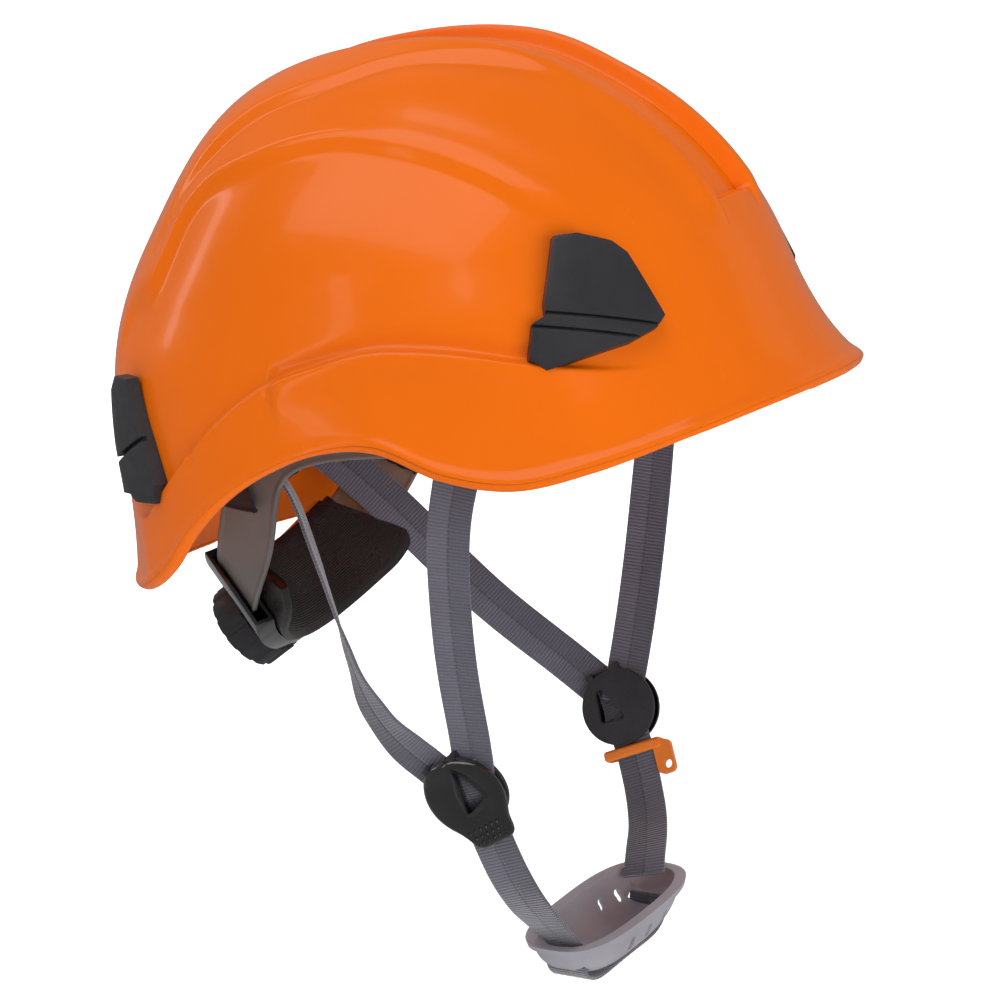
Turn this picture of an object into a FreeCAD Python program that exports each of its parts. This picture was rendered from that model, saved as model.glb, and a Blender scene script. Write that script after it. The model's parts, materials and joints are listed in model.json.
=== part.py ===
import FreeCAD, Part
import math
import os
from FreeCAD import Placement, Rotation, Vector

# Work-at-height and tree-climbing helmet: moulded shell, textile cradle, headband with a ratchet nape
# adjuster, four lamp clips and a Y-shaped chin harness with a soft chin cup.
# Millimetres. +Z is up, -Y is the direction the wearer looks, +X is the wearer's left.
# The origin is the centre of the wearer's head at the headband. Left pieces are made first and the
# right ones are their mirror images, except where a slack strap lies differently.

# ---- driving dimensions: shell ----
SHELL_PITCH = -12.0          # the rim slopes up to the peak by this angle
DOME_TOP = 141.0
HALF_LENGTH_FRONT = 137.0
HALF_LENGTH_REAR = 120.0
HALF_WIDTH = 103.0
EQUATOR_Z = 20.0
PLAN_POWER = 2.2
SPREAD_POWER = 2.2
HEIGHT_POWER = 2.05
FLARE_HEIGHT = 45.0
FLARE_POWER = 2.2
SKIRT_BOTTOM = -62.0
WALL = 2.8
BELT_PROUD = 1.8
CHANNEL_HALF_WIDTH = 16.0
CHANNEL_DEPTH = 4.5
CHANNEL_FRONT_Z = 69.0
CHANNEL_REAR_Y = 66.0
CLIP_PROUD = 5.0
# rim height and the belt's top edge against the distance from front to back
RIM = [(-172, 3), (-156, 3), (-127, -2), (-95, -7.5), (-67, -8.5), (-45, -1.5), (-22, 11.5), (0, 12.7), (22, 8),
       (42, 0), (60, -11), (77, -24), (96, -32), (118, -33), (150, -32)]
BELT = [(-86, 25), (-72, 32), (-50, 40), (-22, 44), (18, 38), (49, 21), (73, 4), (86, -6)]
# how far the rim stands out from the wall, against the angle from the front
FLARE = [(0, 18), (20, 15.5), (45, 9), (75, 4), (95, 3), (120, 3), (150, 4), (180, 5)]

# ---- driving dimensions: webbing, headband, pads ----
WEBBING_WIDTH = 16.0
WEBBING_THICK = 1.2
BAND_THICK = 1.6
PAD_THICK = 4.5
SOFT_GAP = 0.4

# ---- driving dimensions: nape adjuster, in its own frame (y' outwards, z' up) ----
NAPE_ORIGIN = Vector(0, 75.7, -75.7)
NAPE_TILT = -39.0
NAPE_RADIUS = 63.0           # middle of the housing's wall
NAPE_HALF_THICK = 3.5
NAPE_HALF_ANGLE = 41.8
RACK_HALF_THICK = 1.0
PINION_PITCH_RADIUS = 5.0
PINION_TEETH = 10
KNOB_RADIUS = 17.5
KNOB_THICK = 11.0
SHAFT_RADIUS = 3.0
RUNNING_GAP = 0.05

# ---- driving dimensions: chin harness ----
BUCKLE_CENTRE = Vector(70, -38, -118.5)
BUCKLE_LEAN = 16.0
RIGHT_BUCKLE_RISE = 4.0      # the right buckle hangs this much higher
PLATE_RADIUS = 14.5
COVER_RADIUS = {"left": 14.6, "right": 16.0}
TAB_REACH = 20.0
LEVER_PIN_RADIUS = 1.0
CUP_CENTRE = Vector(0, -62, -174.5)
CUP_YAW = -5.0
CUP_ROLL = -6.0
CUP_HALF_LENGTH = 42.0
CUP_HALF_WIDTH = 16.6
CUP_DEPTH = 16.0
CUP_WALL = 2.2
CUP_POWER = 3.0


# ---- helpers ----
def smooth(table, x):
    """Cubic curve through a table of (x, value) pairs."""
    x = min(max(x, table[0][0]), table[-1][0])
    i = max(j for j in range(len(table) - 1) if table[j][0] <= x)

    def slope(j):
        low = max(j - 1, 0)
        high = min(j + 1, len(table) - 1)
        return (table[high][1] - table[low][1]) / (table[high][0] - table[low][0])

    (x0, v0), (x1, v1) = table[i], table[i + 1]
    step = x1 - x0
    t = (x - x0) / step
    return ((2 * t**3 - 3 * t**2 + 1) * v0 + (t**3 - 2 * t**2 + t) * step * slope(i)
            + (3 * t**2 - 2 * t**3) * v1 + (t**3 - t**2) * step * slope(i + 1))


def curve_through(points, closed=False):
    curve = Part.BSplineCurve()
    curve.interpolate(Points=[Vector(*p) for p in points], PeriodicFlag=closed)
    return curve


def prism(points, direction, curved=False):
    """Closed outline, straight or smooth between its points, pushed along direction."""
    if curved:
        wire = Part.Wire([curve_through(points, closed=True).toShape()])
    else:
        wire = Part.makePolygon([Vector(*p) for p in points] + [Vector(*points[0])])
    return Part.Face(wire).extrude(direction)


def box(low, high):
    size = [h - l for l, h in zip(low, high)]
    return Part.makeBox(*size, Vector(*low))


def mirrored(shape):
    return shape.mirror(Vector(0, 0, 0), Vector(1, 0, 0))


def pitched(shape):
    """Shell frame to helmet frame."""
    return shape.transformed(Placement(Vector(), Rotation(Vector(1, 0, 0), SHELL_PITCH)).toMatrix())


def moved(shape, origin, axis, angle):
    return shape.transformed(Placement(origin, Rotation(axis, angle)).toMatrix())


def solid_through(rings):
    """Closed solid on a smooth skin over a stack of rings of points. The end rings are flat."""
    around = len(rings[0])
    down = len(rings)
    surface = Part.BSplineSurface()
    surface.buildFromPolesMultsKnots(
        [[Vector(*ring[k]) for ring in rings] for k in range(around)],
        [1] * (around + 1), [4] + [1] * (down - 4) + [4],
        list(range(around + 1)), list(range(down - 2)), True, False, 3, 3)
    side = surface.toShape()
    level = [sorted(side.Edges, key=lambda e: e.CenterOfMass.z)[i] for i in (0, -1)]
    caps = [Part.Face(Part.Wire([edge])) for edge in level]
    skin = Part.makeShell([side] + caps)
    skin.sewShape()
    return Part.Solid(skin)


def ribbon(points, across, width, thick, shift=0.0, stations=26, start=0.0, end=1.0, slide=0.0):
    """Flat band along a smooth path. across gives the width direction at each point of the path,
    shift moves the band along its own normal and slide along its own width."""
    path = curve_through(points)
    count = len(points)
    knots = [path.parameter(Vector(*p)) for p in points]
    widths = width if isinstance(width, list) else [width] * count

    def blend(values, u):
        i = max(j for j in range(count - 1) if knots[j] <= u + 1e-9)
        t = (u - knots[i]) / (knots[i + 1] - knots[i])
        t = t * t * (3 - 2 * t)
        return values[i] * (1 - t) + values[i + 1] * t

    directions = [Vector(*a).normalize() for a in across]
    sections = []
    for i in range(stations + 1):
        u = knots[0] + (knots[-1] - knots[0]) * (start + (end - start) * i / stations)
        u = min(u, knots[-1])
        tangent = path.tangent(u)[0]
        side = blend(directions, u)
        normal = side.cross(tangent).normalize()
        side = tangent.cross(normal).normalize()
        centre = path.value(u) + normal * shift + side * slide
        half_w = side * (blend(widths, u) / 2)
        half_t = normal * (thick / 2)
        corners = [centre - half_w - half_t, centre + half_w - half_t,
                   centre + half_w + half_t, centre - half_w + half_t]
        sections.append(Part.makePolygon(corners + [corners[0]]))
    return Part.makeLoft(sections, True, False)


# ---- shell surface ----
def plan_radius(angle, grow):
    """Superellipse outline seen from above, angle measured from the front."""
    c = abs(math.cos(angle))
    s = abs(math.sin(angle))
    length = (HALF_LENGTH_FRONT if math.cos(angle) > 0 else HALF_LENGTH_REAR) + grow
    width = HALF_WIDTH + grow
    return ((c / length) ** PLAN_POWER + (s / width) ** PLAN_POWER) ** (-1 / PLAN_POWER)


def shell_ring(grow, dome_angle=90.0, drop=0.0):
    """Points round the shell: dome_angle from the crown to the equator, then drop from 0 at the
    equator to 1 at the rim. Past 1 it is the flat bottom of a skirt that the rim is cut from."""
    points = []
    spread = math.sin(math.radians(dome_angle)) ** (2 / SPREAD_POWER)
    rise = math.cos(math.radians(dome_angle)) ** (2 / HEIGHT_POWER) if dome_angle < 90 else 0.0
    for k in range(72):
        angle = math.radians(5 * k - 180)
        radius = plan_radius(angle, grow)
        flare = smooth(FLARE, abs(math.degrees(angle)))
        rim = smooth(RIM, -(radius + flare) * math.cos(angle))
        z = EQUATOR_Z + (DOME_TOP + grow - EQUATOR_Z) * rise
        z += (rim - EQUATOR_Z) * min(drop, 1.0)
        lift = min(max((z - rim) / FLARE_HEIGHT, 0.0), 1.0)
        reach = radius * spread + flare * (1 - lift) ** FLARE_POWER
        if drop > 1:
            reach += flare * FLARE_POWER / FLARE_HEIGHT * (z - SKIRT_BOTTOM) * 0.6
            z = SKIRT_BOTTOM
        points.append((reach * math.sin(angle), -reach * math.cos(angle), z))
    return points


def dome(grow):
    """Solid dome with a skirt, grown outwards from the shell's outer surface."""
    rings = [shell_ring(grow, dome_angle=a) for a in (2, 6, 12, 20, 29, 38, 47, 56, 65, 74, 82, 90)]
    rings += [shell_ring(grow, drop=d) for d in (0.25, 0.5, 0.75, 1.0, 2.0)]
    return solid_through(rings)


def profile_prism(table, top):
    """Everything above a front-to-back curve, or below it, across the whole width."""
    half = 150.0
    low, high = table[0][0], table[-1][0]
    count = 48
    heights = [(low + (high - low) * i / count) for i in range(count + 1)]
    curve = curve_through([(-half, y, smooth(table, y)) for y in heights])
    corners = [Vector(-half, low, smooth(table, low)), Vector(-half, low, top),
               Vector(-half, high, top), Vector(-half, high, smooth(table, high))]
    edges = [curve.toShape()] + [Part.makeLine(corners[i], corners[i + 1]) for i in (2, 1, 0)]
    face = Part.Face(Part.Wire(Part.__sortEdges__(edges)))
    return face.extrude(Vector(2 * half, 0, 0))


def make_shell(outer, inner):
    above_rim = profile_prism(RIM, 170.0)
    channel = box((-CHANNEL_HALF_WIDTH, -160, CHANNEL_FRONT_Z), (CHANNEL_HALF_WIDTH, CHANNEL_REAR_Y, 160))
    channel = channel.cut(dome(-CHANNEL_DEPTH))
    side = CHANNEL_HALF_WIDTH + WALL
    bulge = box((-side, -160, CHANNEL_FRONT_Z - WALL), (side, CHANNEL_REAR_Y + WALL, 160))
    bulge = bulge.cut(dome(-CHANNEL_DEPTH - WALL))
    body = outer.cut(channel).cut(inner.cut(bulge))
    belt = dome(BELT_PROUD).cut(outer).common(profile_prism(BELT, -100.0))
    return body.fuse(belt).common(above_rim).removeSplitter()


# ---- lamp clips: plates that stand proud of the shell and follow its surface ----
def plate_on_shell(outline, centre, normal, skin, solid_shell):
    """outline holds (across, up) pairs in the plane facing normal, seen from outside."""
    normal = Vector(*normal).normalize()
    across = Vector(0, 0, 1).cross(normal).normalize()
    up = normal.cross(across)
    centre = Vector(*centre)
    points = [centre + across * a + up * b - normal * 12 for a, b in outline]
    tool = prism([tuple(p) for p in points], normal * 30)
    return tool.common(skin).cut(solid_shell), (centre, across, up, normal)


def make_clip(outline, grooves, centre, normal, skin, solid_shell):
    plate, (centre, across, up, normal) = plate_on_shell(outline, centre, normal, skin, solid_shell)
    for start, end, width, sink in grooves:
        half = up * (width / 2)
        first, last = (centre + across * a + up * b for a, b in (start, end))
        corners = [first - half, last - half, last + half, first + half]
        tool = prism([tuple(c - normal * 12) for c in corners], normal * 30)
        plate = plate.cut(tool.cut(dome(CLIP_PROUD - sink)))
    return plate


# ---- cradle ----
def wall_block(angle, z, width, height, thick, inner):
    """Hook body against the shell's inside, with a slot for webbing."""
    a = math.radians(angle)
    reach = plan_radius(a, -WALL)
    block = box((-width / 2, -reach - 6, z - height / 2), (width / 2, -reach + thick, z + height / 2))
    half = WEBBING_WIDTH / 2 + 2.0
    middle = -reach + thick - SLOT_INSET
    slot = box((-half, middle - 1.3, z - height), (half, middle + 1.3, z + height))
    hook = moved(block.cut(slot), Vector(), Vector(0, 0, 1), angle)
    return hook.common(inner)


HOOK_ANGLES = {"front_left": 38, "side_left": 90, "rear_left": 142}
HOOK_Z = 30.0
HOOK_THICK = 9.5
SLOT_INSET = 2.5             # from a hook's inner face to the middle of its slot


def crown_strap(angle, layer):
    """Webbing from a hook over the crown to the hook on the opposite side."""
    top = 106.0 + 1.5 * layer
    heights = [(1.0, HOOK_Z - 8), (1.0, HOOK_Z + 12), (0.95, HOOK_Z + 32), (0.8, HOOK_Z + 54), (0.5, top - 7)]
    legs = []
    for degrees in (angle, angle - 180):
        turn = math.radians(degrees)
        reach = plan_radius(turn, -WALL) - HOOK_THICK + SLOT_INSET
        legs.append([(reach * s * math.sin(turn), -reach * s * math.cos(turn), z) for s, z in heights])
    route = legs[0] + [(0, 0, top)] + legs[1][::-1]
    turn = math.radians(angle)
    across = [(math.cos(turn), math.sin(turn), 0)] * len(route)
    return ribbon(route, across, WEBBING_WIDTH, WEBBING_THICK, stations=40)


# ---- headband: from the front, round one side, down to the nape slot ----
BAND_HALF = [
    # point, width direction, width
    ((0, -103, 35), (0, 0.1, 1), 30),
    ((34, -96, 33), (0, 0.1, 1), 30),
    ((61, -73, 28), (0, 0.1, 1), 28),
    ((77, -34, 21), (0, 0, 1), 26),
    ((81, 8, 16), (0, 0.15, 1), 25),
    ((75.5, 37, 4), (0, 0.6, 0.8), 25),
    ((60, 53, -28), (0, 0.8, 0.6), 24),
    ((42, 66.7, -55.9), (0, 0.63, 0.777), 23),
    ((37, 69, -59.3), (0, 0.63, 0.777), 23),
]


def along_band(width, thick, **options):
    """Ribbon along the whole headband path, from the right nape slot round the front to the left one."""
    right = [((-x, y, z), across) for (x, y, z), across, _ in BAND_HALF[:0:-1]]
    rows = right + [row[:2] for row in BAND_HALF]
    return ribbon([r[0] for r in rows], [r[1] for r in rows], width, thick, **options)


def make_headband():
    widths = [row[2] for row in BAND_HALF]
    return along_band(widths[:0:-1] + widths, BAND_THICK, stations=60)


def make_sweatband():
    shift = BAND_THICK / 2 + SOFT_GAP + PAD_THICK / 2
    return along_band(33.0, PAD_THICK, shift=shift, slide=-2.0, stations=40, start=0.29, end=0.71)


def make_arm_pad(end):
    shift = BAND_THICK / 2 + SOFT_GAP + PAD_THICK / 2
    return along_band(31.0, PAD_THICK, shift=shift, slide=2.0, stations=20, start=0.737, end=end)


# ---- nape adjuster ----
def nape_place(shape):
    return moved(shape, NAPE_ORIGIN, Vector(1, 0, 0), NAPE_TILT)


def arc_wall(radius_in, radius_out, from_angle, to_angle, low, high):
    """Upright curved wall about the nape's centre of curvature; angle 0 is straight behind the head."""
    centre = Vector(0, -NAPE_RADIUS - NAPE_HALF_THICK, low)
    ring = Part.makeCylinder(radius_out, high - low, centre, Vector(0, 0, 1), to_angle - from_angle)
    ring = ring.cut(Part.makeCylinder(radius_in, high - low, centre, Vector(0, 0, 1)))
    ring.rotate(centre, Vector(0, 0, 1), 90 - to_angle)
    return ring


def nape_outline(top, bottom, rise_top, rise_bottom, half=70.0):
    """Smile-shaped outline: the ends sit higher than the middle. Pushed through the wall."""
    scale = (half / 42.0) ** 2
    top_end = top + rise_top * scale
    bottom_end = bottom + rise_bottom * scale
    corners = [Vector(x, 0, z) for x, z in ((-half, top_end), (0, top), (half, top_end),
                                            (half, bottom_end), (0, bottom), (-half, bottom_end))]
    edges = [Part.Arc(corners[0], corners[1], corners[2]).toShape(), Part.makeLine(corners[2], corners[3]),
             Part.Arc(corners[3], corners[4], corners[5]).toShape(), Part.makeLine(corners[5], corners[0])]
    face = Part.Face(Part.Wire(edges))
    face.translate(Vector(0, -120, 0))
    return face.extrude(Vector(0, 160, 0))


def make_nape_housing():
    inner, outer = NAPE_RADIUS - NAPE_HALF_THICK, NAPE_RADIUS + NAPE_HALF_THICK
    wall = arc_wall(inner, outer, -NAPE_HALF_ANGLE - 1, NAPE_HALF_ANGLE + 1, -40, 50)
    wall = wall.common(nape_outline(19.0, -16.0, 6.5, 9.0))
    room = arc_wall(inner + 1.3, outer - 1.3, -60, 60, -40, 50)
    room = room.common(nape_outline(15.5, -12.5, 7.5, 6.5))
    housing = wall.cut(room)
    shaft_hole = Part.makeCylinder(SHAFT_RADIUS + RUNNING_GAP, 8, Vector(0, -4, 0), Vector(0, 1, 0))
    boss = Part.makeCylinder(9, 1.4, Vector(0, -0.6, 0), Vector(0, 1, 0))
    return housing.fuse(boss).cut(shaft_hole)


def make_nape_pad():
    outer = NAPE_RADIUS - NAPE_HALF_THICK - SOFT_GAP
    wall = arc_wall(outer - PAD_THICK, outer, -54, 54, -60, 60)
    return wall.common(nape_outline(21.0, -18.5, 3.5, 5.5))


def tooth(width_root, width_tip, height, thick):
    """One gear tooth pointing along +Z from the origin, thick along Y."""
    points = [(-width_root / 2, -thick / 2, -0.3), (width_root / 2, -thick / 2, -0.3),
              (width_tip / 2, -thick / 2, height), (-width_tip / 2, -thick / 2, height)]
    return prism(points, Vector(0, thick, 0))


def make_pinion():
    """Gear on the knob's shaft. The teeth are slim, so that they run free of both racks."""
    root = PINION_PITCH_RADIUS - 1.1
    middle = -NAPE_HALF_THICK
    back = Vector(0, middle - RACK_HALF_THICK, 0)
    gear = Part.makeCylinder(root, 2 * RACK_HALF_THICK, back, Vector(0, 1, 0))
    for k in range(PINION_TEETH):
        one = tooth(1.3, 0.6, 1.9, 2 * RACK_HALF_THICK)
        one.translate(Vector(0, middle, root))
        one.rotate(Vector(), Vector(0, 1, 0), 360.0 / PINION_TEETH * k)
        gear = gear.fuse(one)
    shaft = Part.makeCylinder(SHAFT_RADIUS, 5.0, Vector(0, middle, 0), Vector(0, 1, 0))
    return gear.fuse(shaft).removeSplitter()


def make_rack(side):
    """Curved toothed bar inside the housing, above the pinion for the left arm, below for the right."""
    pitch = math.degrees(2 * math.pi * PINION_PITCH_RADIUS / PINION_TEETH / NAPE_RADIUS)
    low = PINION_PITCH_RADIUS + 1.0
    bar = arc_wall(NAPE_RADIUS - RACK_HALF_THICK, NAPE_RADIUS + RACK_HALF_THICK, -10.0, 19.0, low, low + 3.2)
    centre = Vector(0, -NAPE_RADIUS - NAPE_HALF_THICK, 0)
    for k in range(-3, 6):
        one = tooth(1.3, 0.6, 1.7, 2 * RACK_HALF_THICK)
        one.rotate(Vector(), Vector(0, 1, 0), 180)
        one.translate(Vector(0, -NAPE_HALF_THICK, low))
        one.rotate(centre, Vector(0, 0, 1), -pitch * (k + 0.5))
        bar = bar.fuse(one)
    if side == "right":
        bar.rotate(Vector(), Vector(0, 1, 0), 180)
    return bar.removeSplitter()


def make_knob():
    """Fluted hand wheel with a dished face."""
    base = 1.2
    knob = Part.makeCylinder(KNOB_RADIUS - 0.6, KNOB_THICK, Vector(0, base, 0), Vector(0, 1, 0))
    count = 14
    for k in range(count):
        start = Vector(KNOB_RADIUS + 1.0, base - 1, 0)
        flute = Part.makeCylinder(2.2, KNOB_THICK + 2, start, Vector(0, 1, 0))
        flute.rotate(Vector(), Vector(0, 1, 0), 360.0 / count * k)
        knob = knob.cut(flute)
    dish = Part.makeCylinder(KNOB_RADIUS - 5.0, 2.0, Vector(0, base + KNOB_THICK - 1.6, 0), Vector(0, 1, 0))
    shaft = Part.makeCylinder(SHAFT_RADIUS, 3.0, Vector(0, base - 0.01, 0), Vector(0, 1, 0))
    return knob.cut(dish).cut(shaft)


def make_knob_cap():
    base = 1.2 + KNOB_THICK - 1.6
    return Part.makeCylinder(KNOB_RADIUS - 5.3, 1.8, Vector(0, base, 0), Vector(0, 1, 0))


# ---- buckles, in the left buckle's frame: x' outwards, y' back, z' up ----
TAB_TURN = 33.0              # the grip tab points down and this far forwards
WINDOW = [(10.0, 6.7), (-3.5, -3.5), (5.8, -6.2)]
PIN_OUT = 3.4
PIN_REACH = 13.6


def buckle_place(shape):
    return moved(shape, BUCKLE_CENTRE, Vector(0, 1, 0), BUCKLE_LEAN)


def right_buckle_place(shape):
    return mirrored(buckle_place(shape)).translated(Vector(0, 0, RIGHT_BUCKLE_RISE))


def window_prism(grow, low, high):
    centre_y = sum(p[0] for p in WINDOW) / 3
    centre_z = sum(p[1] for p in WINDOW) / 3
    points = [(low, centre_y + (y - centre_y) * grow, centre_z + (z - centre_z) * grow) for y, z in WINDOW]
    tool = prism(points, Vector(high - low, 0, 0))
    upright = [e for e in tool.Edges if abs(e.tangentAt(e.FirstParameter).x) > 0.9]
    return tool.makeFillet(1.2 * grow, upright)


def disc(radius, low, high, y=0.0, z=0.0):
    return Part.makeCylinder(radius, high - low, Vector(low, y, z), Vector(1, 0, 0))


def turned_down(shape):
    """From a tab that points straight down to one that points down and forwards."""
    shape.rotate(Vector(), Vector(1, 0, 0), -TAB_TURN)
    return shape


def pin_bar(radius, length):
    """Round bar along the lever's hinge line."""
    return Part.makeCylinder(radius, length, Vector(PIN_OUT, -length / 2, PIN_REACH), Vector(0, 1, 0))


def hinge_ears(grow):
    """Two lugs beside the lever's hub, that carry its pin."""
    half = 1.4 + grow
    low, high = PIN_REACH - 2.4 - grow, PIN_REACH + 2.2 + grow
    ears = [box((-3.4, y - half, low), (PIN_OUT + 1.9, y + half, high)) for y in (-5.6, 5.6)]
    return ears[0].fuse(ears[1])


def ear_relief():
    """Room for the lugs as the cover swings open about its pin."""
    low, high = PIN_REACH - 3.4, PIN_REACH + 6
    slots = [box((-2, y - 1.8, low), (PIN_OUT + 4, y + 1.8, high)) for y in (-5.6, 5.6)]
    return slots[0].fuse(slots[1])


def make_plate():
    plate = disc(PLATE_RADIUS, -3.4, -1.6).cut(window_prism(1.15, -5, 0))
    return plate.fuse(turned_down(hinge_ears(0.0).cut(pin_bar(LEVER_PIN_RADIUS, 20))))


def make_cover(side):
    low, high = 2.3, 4.8
    cover = disc(COVER_RADIUS[side], low, high)
    if side == "right":
        flank = [(15.2, -3.5), (12.5, -12.0), (9.5, -TAB_REACH)]
        outline = [(low, y, z) for y, z in flank] + [(low, -y, z) for y, z in flank[::-1]]
        tab = prism(outline, Vector(high - low, 0, 0))
        corners = [e for e in tab.Edges if abs(e.tangentAt(0).x) > 0.9 and e.CenterOfMass.z < 1 - TAB_REACH]
        cover = cover.fuse(tab.makeFillet(4.0, corners))
        for row in range(3):
            count = 6 - row % 2
            for k in range(count):
                dimple = disc(0.75, high - 0.7, high + 1, (k - (count - 1) / 2) * 2.7, -12.4 - 2.5 * row)
                cover = cover.cut(dimple)
    hub = pin_bar(1.9, 7.2)
    hole = pin_bar(LEVER_PIN_RADIUS + RUNNING_GAP, 20)
    back = box((low - 2, -20, PIN_REACH + 1.9), (high + 2, 20, PIN_REACH + 6))
    cover = turned_down(cover.fuse(hub).cut(hole).cut(back))
    lip = window_prism(1.5, high - 0.01, high + 0.9).cut(window_prism(1.16, high - 1, high + 2))
    cover = cover.fuse(lip).cut(window_prism(1.15, low - 1, high + 2))
    return cover.cut(turned_down(ear_relief()))


def make_lever_pin():
    return turned_down(pin_bar(LEVER_PIN_RADIUS, 14.0))


# ---- webbing of the chin harness ----
FRONT_STRAP_LEFT = [
    ((88.2, -42.2, 30), (0.47, 0.88, 0)),
    ((88.2, -45.2, 15), (0.47, 0.88, 0)),
    ((88.6, -44.5, -8), (0.1, 1, 0)),
    ((86.5, -42.5, -40), (0, 1, 0)),
    ((79.3, -41, -78), (0, 1, 0.05)),
    ((73.2, -39, -105), (0, 1, 0)),
    ((69.6, -38, -117), (0, 1, 0)),
]
FRONT_STRAP_RIGHT = [
    ((-88.2, -42.2, 30), (-0.47, 0.88, 0)),
    ((-88.2, -43.5, 15), (-0.47, 0.88, 0)),
    ((-88.8, -40, -8), (-0.1, 1, 0)),
    ((-86.5, -38.5, -40), (0, 1, 0)),
    ((-79.3, -39.5, -76), (0, 1, 0)),
    ((-73, -41, -101), (0, 1, 0)),
    ((-69.6, -40, -113), (0, 1, 0)),
]
LOWER_STRAP_LEFT = [
    ((69, -39.5, -121.6), (0, 1, -0.3)),
    ((66.3, -45, -132.5), (0, 1, -0.45)),
    ((61.8, -50.5, -145), (0, 1, -0.42)),
    ((54.5, -55.5, -155), (0, 1, -0.3)),
    ((39.4, -61.2, -162.8), (0.08, 1, -0.1)),
    ((30.2, -64.2, -170.2), (0.087, 1, 0)),
]
LOWER_STRAP_RIGHT = [
    ((-69, -40.5, -117.6), (0, 1, -0.3)),
    ((-66.3, -45, -130), (0, 1, -0.45)),
    ((-62, -50, -145), (0, 1, -0.4)),
    ((-55.5, -54, -157), (0, 1, -0.25)),
    ((-39.6, -57.2, -172.0), (0.08, 1, -0.1)),
    ((-31.4, -59.4, -179.9), (0.087, 1, 0)),
]
REAR_STRAP_LEFT = [
    ((26.4, 113.6, 18.5), (0.97, -0.24, 0)),
    ((26.4, 111, 6.5), (0.97, -0.24, 0)),
    ((31, 90, -8), (0.7, -0.3, 0.5)),
    ((42, 64, -27.5), (0.42, -0.53, 0.73)),
    ((53.5, 37, -55), (0.42, -0.53, 0.73)),
    ((64.5, 10, -83), (0.3, -0.6, 0.74)),
    ((71.8, -14, -102.3), (0.22, -0.64, 0.74)),
    ((72.4, -28, -112), (0.2, -0.66, 0.72)),
]
REAR_STRAP_RIGHT = [
    ((-26.4, 113.6, 18.5), (-0.97, -0.24, 0)),
    ((-26.4, 111, 6.5), (-0.97, -0.24, 0)),
    ((-42, 84, 1), (-0.8, -0.5, 0.2)),
    ((-56, 58, -2), (-0.8, -0.4, 0.3)),
    ((-64, 37, -10), (-0.9, -0.4, 0.1)),
    ((-73, 22, -28), (-0.9, -0.4, 0)),
    ((-81, 9, -50), (-0.9, -0.4, 0.2)),
    ((-83, 1, -68), (-0.8, -0.55, 0.3)),
    ((-79.6, -7, -87), (-0.5, -0.75, 0.5)),
    ((-74.4, -19, -101.5), (-0.19, -0.7, 0.66)),
    ((-72.6, -28, -107.5), (-0.19, -0.7, 0.66)),
]
# black yoke from a rear hook to the headband's arm, and the tabs that hang the band from the other hooks
YOKE = [
    ((65.4, 85.6, 0.8), (0.79, -0.62, 0.3)),
    ((66.5, 74, -8), (0.45, -0.2, 0.85)),
    ((67, 60, -12.4), (0.27, 0.07, 0.89)),
    ((70.9, 47, -12.6), (0.27, 0.07, 0.89)),
]
HANGERS = {
    "hanger_front_left": [((70.4, -84, 37.6), (0.79, 0.62, 0)), ((67, -79.5, 31), (0.79, 0.62, 0)),
                          ((63.4, -75.2, 27), (0.79, 0.62, 0))],
    "hanger_side_left": [((91.8, 5.1, 16.6), (0, 1, 0)), ((88.4, 7, 11.7), (0, 1, 0)),
                         ((84.9, 8.8, 10.4), (0, 1, 0))],
}


def webbing(rows, **options):
    return ribbon([r[0] for r in rows], [r[1] for r in rows], WEBBING_WIDTH, WEBBING_THICK, **options)


def webbing_room(rows):
    """Slot that a strap passes through with a little room all round."""
    return ribbon([r[0] for r in rows], [r[1] for r in rows], WEBBING_WIDTH + 1.0, WEBBING_THICK + 0.8,
                  stations=40)


def make_release_frame():
    """Orange frame that the left lower strap runs through, with a wing and a lanyard hole."""
    frame = box((-3.2, -11.8, 0.3), (3.2, 11.8, 4.5))
    frame = frame.makeFillet(1.4, frame.Edges)
    slot = box((-2.1, -9.4, -10), (2.1, 9.4, 10))
    lip = box((-2.2, -15.0, -10.0), (0.6, -8.0, 3.0))
    upright = [e for e in lip.Edges if abs(e.tangentAt(0).x) > 0.9]
    lip = lip.makeFillet(2.4, upright)
    hole = Part.makeCylinder(1.7, 10, Vector(-5, -12.4, -6.6), Vector(1, 0, 0))
    return frame.fuse(lip).cut(slot).cut(hole).removeSplitter()


def on_lower_strap(shape, at, toward):
    """Puts a piece made about the origin, z' along the strap, at a place on the left lower strap."""
    direction = (Vector(*at) - Vector(*toward)).normalize()
    across = Vector(0, 1, 0)
    out = across.cross(direction).normalize()
    across = direction.cross(out)
    frame = Placement(Vector(*at), Rotation(out, across, direction, "ZXY"))
    return shape.transformed(frame.toMatrix())


# ---- chin cup ----
def cup_place(shape):
    rolled = moved(shape, Vector(), Vector(0, 1, 0), CUP_ROLL)
    return moved(rolled, CUP_CENTRE, Vector(0, 0, 1), CUP_YAW)


def bowl(grow, floor):
    """Boat-shaped solid, widest at the top."""
    rings = []
    levels = ((-0.15, 1.02), (0.0, 1.0), (0.25, 0.97), (0.5, 0.9), (0.75, 0.77), (0.92, 0.6), (1.0, 0.45),
              (1.0, 0.3))
    for depth, share in levels:
        ring = []
        for k in range(48):
            c, s = math.cos(math.pi * k / 24), math.sin(math.pi * k / 24)
            reach = (abs(c) ** CUP_POWER + abs(s) ** CUP_POWER) ** (-1 / CUP_POWER) * share
            x = (CUP_HALF_LENGTH + grow) * reach * c
            y = (CUP_HALF_WIDTH + grow) * reach * s
            ring.append((x, y, -floor * depth))
        rings.append(ring)
    return solid_through(rings)


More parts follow.
